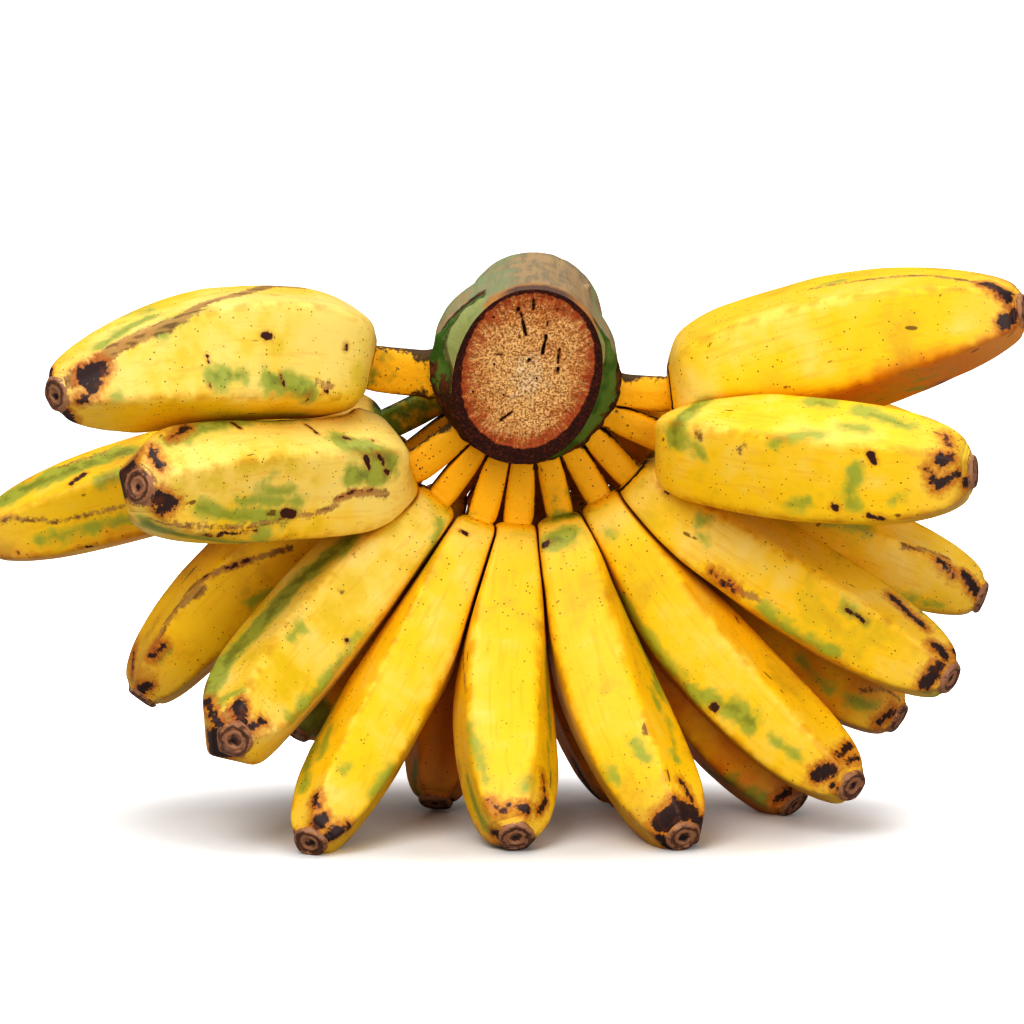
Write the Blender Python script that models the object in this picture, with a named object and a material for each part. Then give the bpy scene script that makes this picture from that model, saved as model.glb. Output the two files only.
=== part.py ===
"""A hand of short, thick cooking bananas on its piece of cut stalk, standing on the tips of six fingers.

Lengths are in metres unless a comment says mm, angles in degrees, +Z up. The hand has its own axes: X to the
right, Y along the stalk towards its back end, Z up. A finger's direction is a swing from straight down towards
+X, and a lean from there towards the front of the hand (-Y).
"""
import math

import bmesh
import bpy
import numpy as np

# The hand
HAND_CENTRE = (0.0132, 0.0235, 0.1723)  # the stalk's axis at the crown, above the surface
HAND_TILT = 8.0                         # the back end of the stalk is this much higher
CROWN_RADIUS = 0.0344                   # the cushion that the stems grow from, at its sides
CROWN_DEEPER = 0.0020                   # and how much deeper it is underneath
ROW_Y = {"front": -0.010, "back": 0.013}
SEAT_GAP = 0.0004                       # stem base to crown
SIDE_GAP = 0.0007                       # between two fingers pressed together

# The stalk
STALK_FRONT_Y = -0.042
STALK_BACK_Y = 0.044
CUT_RADIUS = 0.0296                     # mean radius of the front cut, which is a leaning egg shape
CUT_TALLER = 0.0026
CUT_LEANS = 0.0017
CUT_TOP_HEAVY = 0.0002
BACK_RADIUS = 0.0266
BACK_DRIFT = 0.0025                     # the stalk bends this far towards +X at the back
BACK_RISE = 0.0030                      # and this far up
CROWN_TOP_RADIUS = 0.0290               # no stems grow on top, so the crown is low there
CROWN_ENDS = (-150.0, 122.0)            # where the cushion stops, from straight down towards +X
CROWN_FADE = (1.05, 0.80)               # the angle in radians that it takes to rise from each end
CREASE_Y = -0.0285                      # a shallow crease between the stalk and the cushion
CREASE_DEPTH = 0.0012
LIP_Y = -0.0185                         # the corky front edge of the cushion
LIP_HEIGHT = 0.0012
STALK_SIDES = 36
STALK_ROWS = (-0.042, -0.037, -0.032, -0.0285, -0.0255, -0.022, -0.0185, -0.014, -0.003, 0.008, 0.017,
              0.022, 0.027, 0.033, 0.044)

# Every finger
STEM_HALF_DEPTH = 0.0050
SCAR_RADIUS = 0.0060                    # the dried flower scar on the tip
SCAR_LENGTH = 0.0034
RIDGE_FACES = (90.0, 18.0, 162.0, -54.0, -126.0)  # five flat sides; 90 faces the front of the hand
ROUNDING = 9.0                          # higher is sharper at the ridges
FINGER_SIDES = 16
SPINE_STEPS = 120
STEM_ROWS = (0.0, 0.18, 0.92)           # as shares of the stem's length
SHOULDER_ROWS = (0.0, 0.004, 0.010, 0.020)
BODY_ROWS = (0.30, 0.47, 0.64, 0.78, 0.88, 0.95, 1.0)

# row, place round the crown, (swing, lean) of the stem, of the body where it leaves the stem and of the tip,
# then in mm stem length and half width, body length, half width and half depth, then the turn of the ridges,
# how late the body bends (1 is even) and how blunt it stays (higher is blunter)
FINGERS = {
    "banana_front_1": ("front", -80, (-95, 0), (-121, 17), (-83, 43), 26, 8.6, 128, 26.4, 25.2, 20, 0.4, 1.2),
    "banana_front_2": ("front", -39, (-55, 4), (-96, 30), (-104, 52), 27, 6.2, 118, 24.8, 23, 0, 1.3, 3.6),
    "banana_front_3": ("front", -28, (-36, 0), (-47, 17), (-50, 85), 28, 5.2, 137, 19.6, 20, 0, 1.6, 3.6),
    "banana_front_4": ("front", -15, (-16, 4), (-28, 24), (-41, 61), 29, 5.6, 143.8, 16.0, 18, 0, 1.3, 3.6),
    "banana_front_5": ("front", -3, (-3, 3), (-9, 27), (15, 67), 28, 5.8, 126.6, 18.3, 19, 0, 1.4, 3.6),
    "banana_front_6": ("front", 12, (12, 3), (11, 24), (47, 60), 26, 5.2, 135.8, 17.8, 19, 0, 1.4, 3.6),
    "banana_front_7": ("front", 26, (29, 1), (31, 10), (67, 49), 25, 5.2, 145, 17.4, 19, 0, 1.4, 3.6),
    "banana_front_8": ("front", 40, (42, 1), (56, 10), (69, 35), 25, 5.2, 138, 17.9, 19, 0, 1.3, 3.6),
    "banana_front_9": ("front", 55, (67, 8), (93, 50), (95, 16), 27, 5.6, 125, 22.0, 22.4, 0, 1.4, 3.6),
    "banana_front_10": ("front", 69, (86, -1), (112, 2), (103, 20), 22, 6.6, 131, 25.4, 25.2, -15, 0.8, 1.5),
    "banana_back_1": ("back", -57, (-64, 2), (-75, -5), (-73, 10), 28, 5.8, 155, 19.0, 19, 0, 1.3, 3.6),
    "banana_back_2": ("back", -42, (-50, 0), (-60, -7), (-38, 22), 26, 5.6, 137, 17.8, 19, 0, 1.0, 3.6),
    "banana_back_3": ("back", -25, (-25, 0), (-27, -7), (-43, 31), 29, 6.2, 107, 17.0, 19, 0, 0.9, 3.6),
    "banana_back_4": ("back", -12, (-16, 0), (-12, 5), (-9, 38), 23, 5.6, 117.8, 16.0, 18, 0, 1.1, 3.6),
    "banana_back_5": ("back", 6, (8, 1), (5, 0), (26, 33), 24, 5.6, 116.7, 17.0, 18, 0, 0.9, 3.6),
    "banana_back_6": ("back", 21, (23, 1), (24, 5), (48, 35), 25, 5.6, 141.4, 19.5, 19, 0, 1.0, 3.6),
    "banana_back_7": ("back", 33, (35, 0), (42, -2), (62, 25), 29, 5.6, 137, 18.0, 19, 0, 1.3, 3.6),
    "banana_back_8": ("back", 46, (49, 1), (64, -2), (73, 19), 28, 5.6, 134, 17.0, 19, 0, 1.1, 3.6),
    "banana_back_9": ("back", 59, (66, 0), (79, -4), (84, 17), 24, 5.8, 108, 19.0, 19, 0, 1.3, 3.6),
}

COLLECTION = "banana_hand"
PEEL_COLOUR = (0.86, 0.56, 0.05, 1.0)
STALK_COLOUR = (0.36, 0.27, 0.17, 1.0)

TILT = math.radians(HAND_TILT)
# rows are the hand's axes in the world
HAND_AXES = np.array([
    (1, 0, 0),
    (0, math.cos(TILT), math.sin(TILT)),
    (0, -math.sin(TILT), math.cos(TILT)),
])


def to_world(points):
    return points @ HAND_AXES + np.array(HAND_CENTRE)


def to_hand(points):
    return (points - np.array(HAND_CENTRE)) @ HAND_AXES.T


def smooth(x):
    x = np.clip(x, 0, 1)
    return x * x * (3 - 2 * x)


def unit(vectors):
    return vectors / np.linalg.norm(vectors, axis=-1, keepdims=True)


def read_finger(row):
    names = ("row", "place", "stem", "body", "tip", "stem_length", "stem_width", "body_length", "width", "depth",
             "turn", "bend", "blunt")
    finger = dict(zip(names, row))
    for key in ("stem_length", "stem_width", "body_length", "width", "depth"):
        finger[key] *= 0.001
    return finger


def crown_radius(angle):
    """The cushion's radius at an angle from straight down."""
    return CROWN_RADIUS + CROWN_DEEPER * np.clip(np.cos(angle), 0, 1) ** 2


def share_along(finger, s):
    return (s - finger["stem_length"]) / finger["body_length"]


def spine(finger):
    """The finger's centre line in the hand's axes, with the length and the direction at each point."""
    s = np.linspace(0, finger["stem_length"] + finger["body_length"] + SCAR_LENGTH, SPINE_STEPS + 1)
    neck = smooth((s - finger["stem_length"] + 0.010) / 0.020)
    late = np.clip(share_along(finger, s), 0, 1.03) ** finger["bend"]
    angles = []
    for stem, body, tip in zip(finger["stem"], finger["body"], finger["tip"]):
        angles.append(np.radians(stem + (body - stem) * neck + (tip - body) * late))
    swing, lean = angles
    heading = np.stack([np.cos(lean) * np.sin(swing), -np.sin(lean), -np.cos(lean) * np.cos(swing)], -1)
    place = math.radians(finger["place"])
    radius = crown_radius(place)
    start = np.array([radius * math.sin(place), ROW_Y[finger["row"]], -radius * math.cos(place)])
    steps = np.diff(s)[:, None] * (heading[1:] + heading[:-1]) / 2
    points = np.concatenate([[start], start + np.cumsum(steps, axis=0)])
    return s, points, heading


def girth(finger, s):
    """How far the stem has swelled into the body, 0 to 1, and the body's own size, 1 where it is thickest."""
    x = np.clip((s - finger["stem_length"] + 0.002) / 0.030, 0, 1)
    shoulder = (1 - (1 - x) ** 2.6) ** (1 / 1.8)
    u = share_along(finger, s)
    belly = 0.93 + 0.07 * np.sin(np.pi * np.clip(u, 0, 1))
    t = np.clip((u - 0.45) / 0.55, 0, 1)
    low = 0.26 + 0.05 * finger["blunt"]
    taper = low + (1 - low) * (1 - t ** finger["blunt"]) ** 0.62
    return shoulder, belly * taper


def mean_radius(finger, s):
    shoulder, size = girth(finger, s)
    stem = (finger["stem_width"] + STEM_HALF_DEPTH) / 2
    body = size * (finger["width"] + finger["depth"]) / 2 * 0.97
    return stem + (body - stem) * shoulder


def cross_axes(heading):
    """Front and side directions of the section at each point."""
    front = unit(np.array([0, -1.0, 0]) - (heading @ np.array([0, -1.0, 0]))[:, None] * heading)
    return front, np.cross(front, heading)


def super_ellipse(angle, width, depth, power):
    return (np.abs(np.cos(angle) / width) ** power + np.abs(np.sin(angle) / depth) ** power) ** (-1 / power)


def square_across(points, heading, other_points, other_heading):
    """For each point, the place on the other centre line that is square to both, as it is between two spread
    fingers, and its index there."""
    line = other_points[None] - points[:, None]
    ahead = (line * (heading[:, None] + other_heading[None])).sum(-1)
    distance = np.linalg.norm(line, axis=-1)
    crossing = (ahead[:, :-1] < 0) & (ahead[:, 1:] >= 0)
    rows = np.arange(len(points))
    j = np.where(crossing, distance[:, :-1], 9.0).argmin(1)
    part = ahead[rows, j] / np.minimum(ahead[rows, j] - ahead[rows, j + 1], -1e-12)
    index = j + np.clip(part, 0, 1)
    outside = np.where(ahead[:, 0] >= 0, 0.0, len(other_points) - 1.0)
    index = np.where(crossing.any(1), index, outside)
    k = np.minimum(index.astype(int), len(other_points) - 2)
    place = other_points[k] + (index - k)[:, None] * (other_points[k + 1] - other_points[k])
    return place, index


def finger_rings(name, fingers, lines, s, sides):
    """Rings round the centre line at the lengths s. The section is a soft pentagon, flattened where a neighbour
    presses on it, and a rounded rectangle along the stem."""
    finger = fingers[name]
    own_s, own_points, own_heading = lines[name]
    at = [np.interp(s, own_s, own_points[:, k]) for k in range(3)]
    points = np.stack(at, -1)
    heading = unit(np.stack([np.interp(s, own_s, own_heading[:, k]) for k in range(3)], -1))
    front, side = cross_axes(heading)
    angle = np.linspace(0, 2 * math.pi, sides, endpoint=False)
    shoulder, size = girth(finger, s)
    flats = np.radians(np.array(RIDGE_FACES) + finger["turn"])
    pentagon = (np.clip(np.cos(angle[:, None] - flats), 0, None) ** ROUNDING).sum(1) ** (-1 / ROUNDING)
    body = pentagon * super_ellipse(angle, finger["width"] / 1.08, finger["depth"] / 1.05, 2.0) * size[:, None]
    stem = super_ellipse(angle, finger["stem_width"], STEM_HALF_DEPTH, 3.0)
    stem = stem * (1 + 0.12 * np.clip(1 - s / 0.006, 0, 1)[:, None] ** 2)
    inverse = (stem + (body - stem) * shoulder[:, None]) ** (-ROUNDING)
    own_radius = mean_radius(finger, s)
    for other_name, (other_s, other_points, other_heading) in lines.items():
        if other_name == name:
            continue
        place, index = square_across(points, heading, other_points, other_heading)
        other_radius = mean_radius(fingers[other_name], np.interp(index, np.arange(len(other_s)), other_s))
        between = place - points
        distance = np.linalg.norm(between, axis=1)
        x = (between * side).sum(1) / distance
        y = (between * front).sum(1) / distance
        share = own_radius / (own_radius + other_radius)
        reach = np.maximum(share * distance - SIDE_GAP / 2, 0.002) / np.maximum(np.hypot(x, y), 0.2)
        toward = np.clip(np.cos(angle - np.arctan2(y, x)[:, None]), 0, None)
        inverse = inverse + (toward / reach[:, None]) ** ROUNDING
    radius = inverse ** (-1 / ROUNDING)
    out = np.cos(angle)[None, :, None] * side[:, None] + np.sin(angle)[None, :, None] * front[:, None]
    return points[:, None] + radius[..., None] * out


def onto_crown(points):
    """The points moved straight in or out to lie just clear of the cushion."""
    points = points.copy()
    angle = np.arctan2(points[..., 0], -points[..., 2])
    scale = (crown_radius(angle) + SEAT_GAP) / np.hypot(points[..., 0], points[..., 2])
    points[..., 0] *= scale
    points[..., 2] *= scale
    return points


def on_surface(points):
    """Nothing reaches below the surface it rests on, so each resting tip gets a small flat spot."""
    world = to_world(points)
    world[..., 2] = np.maximum(world[..., 2], 0)
    return to_hand(world)


def loft(name, rings, start, end, origin):
    """A closed skin over the rings, with a fan at each end."""
    mesh = bmesh.new()
    grid = [[mesh.verts.new(point - origin) for point in ring] for ring in rings]
    first = mesh.verts.new(start - origin)
    last = mesh.verts.new(end - origin)
    sides = len(grid[0])
    for ring, following in zip(grid, grid[1:]):
        for i in range(sides):
            j = (i + 1) % sides
            mesh.faces.new((ring[i], ring[j], following[j], following[i]))
    for i in range(sides):
        j = (i + 1) % sides
        mesh.faces.new((first, grid[0][j], grid[0][i]))
        mesh.faces.new((last, grid[-1][i], grid[-1][j]))
    bmesh.ops.recalc_face_normals(mesh, faces=mesh.faces)
    data = bpy.data.meshes.new(name)
    mesh.to_mesh(data)
    mesh.free()
    data.shade_smooth()
    data.set_sharp_from_angle(angle=math.radians(50))
    return data


def make_material(name, colour, roughness):
    material = bpy.data.materials.new(name)
    material.use_nodes = True
    shader = material.node_tree.nodes["Principled BSDF"]
    shader.inputs["Base Color"].default_value = colour
    shader.inputs["Roughness"].default_value = roughness
    shader.inputs["Metallic"].default_value = 0.0
    return material


def add_object(name, data, material, origin, parent, collection):
    data.materials.append(material)
    piece = bpy.data.objects.new(name, data)
    piece.parent = parent
    piece.location = origin
    collection.objects.link(piece)
    return piece


def make_finger(name, fingers, lines):
    finger = fingers[name]
    s, points, heading = lines[name]
    stem_length = finger["stem_length"]
    length = stem_length + finger["body_length"]
    rows = [stem_length * x for x in STEM_ROWS]
    rows += [stem_length + x for x in SHOULDER_ROWS]
    rows += [stem_length + finger["body_length"] * x for x in BODY_ROWS]
    rings = list(finger_rings(name, fingers, lines, np.array(rows), FINGER_SIDES))
    rings[0] = onto_crown(rings[0])
    start = onto_crown(rings[0].mean(axis=0))
    # the blunt end, then the scar: its root, its rim and its sunk middle
    tip = np.array([np.interp(length, s, points[:, k]) for k in range(3)])
    ahead = unit(np.array([np.interp(length, s, heading[:, k]) for k in range(3)]))
    out = rings[-1] - tip
    rings.append(tip + ahead * 0.0012 + out * 0.80)
    rings.append(tip + ahead * 0.0014 + unit(out) * SCAR_RADIUS)
    rings.append(tip + ahead * SCAR_LENGTH + unit(out) * SCAR_RADIUS * 0.94)
    rings = [on_surface(ring) for ring in rings]
    end = on_surface(tip + ahead * (SCAR_LENGTH - 0.0005))
    return loft(name, rings, start, end, points[0]), points[0]


def bump(x, width):
    return np.exp(-(x / width) ** 2)


def make_stalk():
    """The stalk's section goes from the front cut to the crown, which is high where stems grow, to the back cut."""
    angle = np.linspace(-math.pi, math.pi, STALK_SIDES, endpoint=False)  # 0 is straight down, then towards +X
    first, last = np.radians(CROWN_ENDS)
    turned = np.where(angle < first, angle + 2 * math.pi, angle)
    under = smooth((turned - first) / CROWN_FADE[0]) * smooth((last - turned) / CROWN_FADE[1])
    crown = CROWN_TOP_RADIUS + (crown_radius(angle) - CROWN_TOP_RADIUS) * under
    up = math.pi - angle
    cut = CUT_RADIUS + CUT_TALLER * np.cos(2 * up) + CUT_LEANS * np.sin(2 * up) + CUT_TOP_HEAVY * np.cos(up)
    rings = []
    for y in STALK_ROWS:
        radius = cut + (crown - cut) * smooth((y + 0.031) / 0.012)
        radius = radius - CREASE_DEPTH * under * bump(y - CREASE_Y, 0.003)
        radius = radius + LIP_HEIGHT * under * bump(y - LIP_Y, 0.0015)
        radius = BACK_RADIUS + (radius - BACK_RADIUS) * smooth((0.038 - y) / 0.018)
        bent = smooth((y - 0.020) / 0.024)
        across = radius * np.sin(angle) + BACK_DRIFT * bent
        ring = [across, np.full(STALK_SIDES, y), -radius * np.cos(angle) + BACK_RISE * bent]
        rings.append(np.stack(ring, -1))
    start = np.array([0, STALK_FRONT_Y, 0])
    end = np.array([BACK_DRIFT, STALK_BACK_Y, BACK_RISE])
    return loft("stalk", rings, start, end, np.zeros(3))


def main():
    for old in list(bpy.data.objects):
        bpy.data.objects.remove(old, do_unlink=True)
    collection = bpy.data.collections.new(COLLECTION)
    bpy.context.scene.collection.children.link(collection)
    hand = bpy.data.objects.new("hand_axis", None)
    hand.location = HAND_CENTRE
    hand.rotation_euler = (TILT, 0, 0)
    collection.objects.link(hand)

    stalk = make_material("stalk", STALK_COLOUR, 0.75)
    add_object("stalk", make_stalk(), stalk, (0, 0, 0), hand, collection)

    fingers = {name: read_finger(row) for name, row in FINGERS.items()}
    lines = {name: spine(finger) for name, finger in fingers.items()}
    for name in fingers:
        data, origin = make_finger(name, fingers, lines)
        peel = make_material(name + "_peel", PEEL_COLOUR, 0.45)
        add_object(name, data, peel, origin, hand, collection)


main()
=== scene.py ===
import math

import bpy
import numpy as np
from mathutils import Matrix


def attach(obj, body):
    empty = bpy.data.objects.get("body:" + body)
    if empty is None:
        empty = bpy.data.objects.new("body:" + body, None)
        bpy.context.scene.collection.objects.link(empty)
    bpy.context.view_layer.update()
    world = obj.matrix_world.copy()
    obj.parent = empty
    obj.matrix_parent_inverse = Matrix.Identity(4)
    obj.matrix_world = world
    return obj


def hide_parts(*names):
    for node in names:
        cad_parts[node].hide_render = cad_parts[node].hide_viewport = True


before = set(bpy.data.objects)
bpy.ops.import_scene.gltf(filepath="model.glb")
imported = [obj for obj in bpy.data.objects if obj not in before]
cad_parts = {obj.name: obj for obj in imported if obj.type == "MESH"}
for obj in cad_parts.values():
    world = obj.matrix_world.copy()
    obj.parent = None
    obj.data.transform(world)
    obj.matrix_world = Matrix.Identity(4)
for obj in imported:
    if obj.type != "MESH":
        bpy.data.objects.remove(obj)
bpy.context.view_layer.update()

# the photo's camera, which also places the marks: pitch is 90 when it looks level
camera = {
    "place": (0.0078, -1.3143, 0.2770),
    "pitch": 83.0,
    "lensMm": 126.95,
    "sensorMm": 36.0,
    "photoPixels": 1024,
}

# lengths are in metres unless a name or comment says mm, angles in degrees
hand = {
    "centre": (0.0132, 0.0235, 0.1723),   # the stalk's axis at the crown
    "tilt": 8.0,                          # the back end is this much higher
    "crownRadius": 0.0344,
    "crownDeeper": 0.0020,
    "rowY": {"front": -0.010, "back": 0.013},
    "sideGap": 0.0007,                    # between two fingers pressed together
    "stemSunk": 0.0008,                   # how far a stem's root goes into the crown
}
tilt = math.radians(hand["tilt"])
handAxes = np.array([
    (1, 0, 0),
    (0, math.cos(tilt), math.sin(tilt)),
    (0, -math.sin(tilt), math.cos(tilt)),
])


def toWorld(points):
    return points @ handAxes + np.array(hand["centre"])


def smooth(x):
    x = np.clip(x, 0, 1)
    return x * x * (3 - 2 * x)


def bump(x, width):
    return np.exp(-(x / width) ** 2)


def unit(vectors):
    return vectors / np.linalg.norm(vectors, axis=-1, keepdims=True)


latticePrimes = (374761393, 668265263, 2147483629)


# random numbers -1 to 1 on the corners of a lattice, blended smoothly between them
def latticeNoise(points, size, seed):
    q = np.asarray(points) / size
    cell = np.floor(q).astype(np.int64)
    f = smooth(q - cell)
    total = np.zeros(q.shape[:-1])
    for corner in range(8):
        step = np.array([corner & 1, corner >> 1 & 1, corner >> 2 & 1])
        h = ((cell + step) * latticePrimes).sum(-1) + seed * 97531 & 0xFFFFFFFF
        h = ((h ^ (h >> 13)) * 1274126177) & 0xFFFFFFFF
        h = h ^ (h >> 16)
        weight = np.where(step, f, 1 - f).prod(-1)
        total += weight * (h / 2147483648.0 - 1)
    return total


def layeredNoise(points, size, layers, seed):
    return sum(latticeNoise(points, size / 2 ** i, seed + i) / 2 ** i for i in range(layers))


# quads between neighbouring rings and a fan of triangles at each end; flip for rings that run clockwise
def skin(name, rings, start, end, flip=False):
    rows, sides = rings.shape[:2]
    row, column = np.meshgrid(np.arange(rows - 1), np.arange(sides), indexing="ij")
    after = (column + 1) % sides
    quads = np.stack([row * sides + column, row * sides + after,
                      (row + 1) * sides + after, (row + 1) * sides + column], -1).reshape(-1, 4)
    i = np.arange(sides)
    j = (i + 1) % sides
    first, last = rows * sides, rows * sides + 1
    top = (rows - 1) * sides
    fans = np.concatenate([np.stack([np.full(sides, first), j, i], -1),
                           np.stack([np.full(sides, last), top + i, top + j], -1)])
    if flip:
        quads, fans = quads[:, ::-1], fans[:, ::-1]
    points = np.concatenate([rings.reshape(-1, 3), [start, end]])
    mesh = bpy.data.meshes.new(name)
    mesh.from_pydata(points.tolist(), [], quads.tolist() + fans.tolist())
    mesh.shade_smooth()
    return mesh


# one number for each vertex of a skin, or three; the two poles take the mean of the ring beside them
def addAttribute(mesh, name, grid):
    grid = np.asarray(grid, dtype=float)
    if grid.ndim == 3:
        flat = np.concatenate([grid.reshape(-1, 3), [grid[0].mean(0), grid[-1].mean(0)]])
        mesh.attributes.new(name, "FLOAT_VECTOR", "POINT").data.foreach_set("vector", flat.ravel())
    else:
        flat = np.concatenate([grid.ravel(), [grid[0].mean(), grid[-1].mean()]])
        mesh.attributes.new(name, "FLOAT", "POINT").data.foreach_set("value", flat)


def addPiece(name, mesh, node, material):
    piece = bpy.data.objects.new(name, mesh)
    bpy.context.scene.collection.objects.link(piece)
    mesh.materials.append(material)
    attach(piece, "root")
    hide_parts(node)


# helpers that add shader nodes and give back an output
def colour(*screen):
    # from screen values 0-255 to Blender's linear colour
    linear = (((c / 255 + 0.055) / 1.055) ** 2.4 if c > 10 else c / 3294.6 for c in screen)
    return (*linear, 1.0)


def add(tree, kind, inputs=None, out=0, **settings):
    node = tree.nodes.new("ShaderNode" + kind)
    for key, value in settings.items():
        setattr(node, key, value)
    for key, value in (inputs or {}).items():
        if isinstance(value, bpy.types.NodeSocket):
            tree.links.new(value, node.inputs[key])
        else:
            node.inputs[key].default_value = value
    return node.outputs[out]


def calc(tree, operation, a, b=0.0, c=0.0, clamp=False):
    return add(tree, "Math", {0: a, 1: b, 2: c}, operation=operation, use_clamp=clamp)


def mix(tree, factor, a, b):
    return add(tree, "Mix", {0: factor, 6: a, 7: b}, out=2, data_type="RGBA")


# 0 below low, 1 above high and a smooth step between; low may be the larger
def step(tree, value, low, high):
    if low > high:
        return calc(tree, "SUBTRACT", 1.0, step(tree, value, high, low))
    return add(tree, "MapRange", {0: value, 1: low, 2: high, 3: 0.0, 4: 1.0}, interpolation_type="SMOOTHSTEP")


def noise(tree, where, scale, detail=2.0, roughness=0.5):
    return add(tree, "TexNoise", {"Vector": where, "Scale": scale, "Detail": detail, "Roughness": roughness})


def spread(tree, value, reach):
    # noise 0-1 made -reach to reach
    return calc(tree, "MULTIPLY_ADD", value, 2 * reach, -reach)


# a value made ragged by patterns, each added as -reach to reach
def roughen(tree, value, *patterns):
    for pattern, reach in patterns:
        value = calc(tree, "ADD", value, spread(tree, pattern, reach))
    return value


def read(tree, name, out=2):
    return add(tree, "Attribute", out=out, attribute_name=name)


def stretch(tree, where, scale):
    return add(tree, "VectorMath", {0: where, 1: scale}, operation="MULTIPLY")


def product(tree, *values):
    result = values[0]
    for value in values[1:]:
        result = calc(tree, "MULTIPLY", result, value)
    return result


def newMaterial(name):
    material = bpy.data.materials.new(name)
    material.use_nodes = True
    tree = material.node_tree
    return material, tree, tree.nodes["Principled BSDF"]


# peel
peelFinish = {
    # lemon is the palest yellow: partly the peel's own tone, partly a painted sheen
    "lemonAndSheen": (251, 222, 126),
    "yellow": (252, 206, 28),
    # orange is partly the peel's ripe tone and partly painted shade
    "orangeAndShade": (230, 138, 0),
    "pale": (246, 208, 140),
    "green": (148, 168, 64),
    # the dark green of the patches' hearts, also used as painted shade on green in the shade of other fingers
    "darkGreenAndShade": (82, 118, 42),
    "scuff": (176, 130, 80),
    "scuffDark": (112, 72, 48),
    "halo": (190, 104, 30),
    "stain": (44, 30, 36),
    "stainBrown": (92, 48, 28),
    "spot": (92, 40, 20),
    "speck": (104, 58, 18),
    "scar": (170, 122, 90),
    "scarDark": (106, 70, 52),
    "stem": (250, 186, 10),
    "stemGreen": (116, 132, 30),
    "stemDark": (44, 26, 16),
    "roughness": 0.46,
    "specular": 0.42,
}


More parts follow.
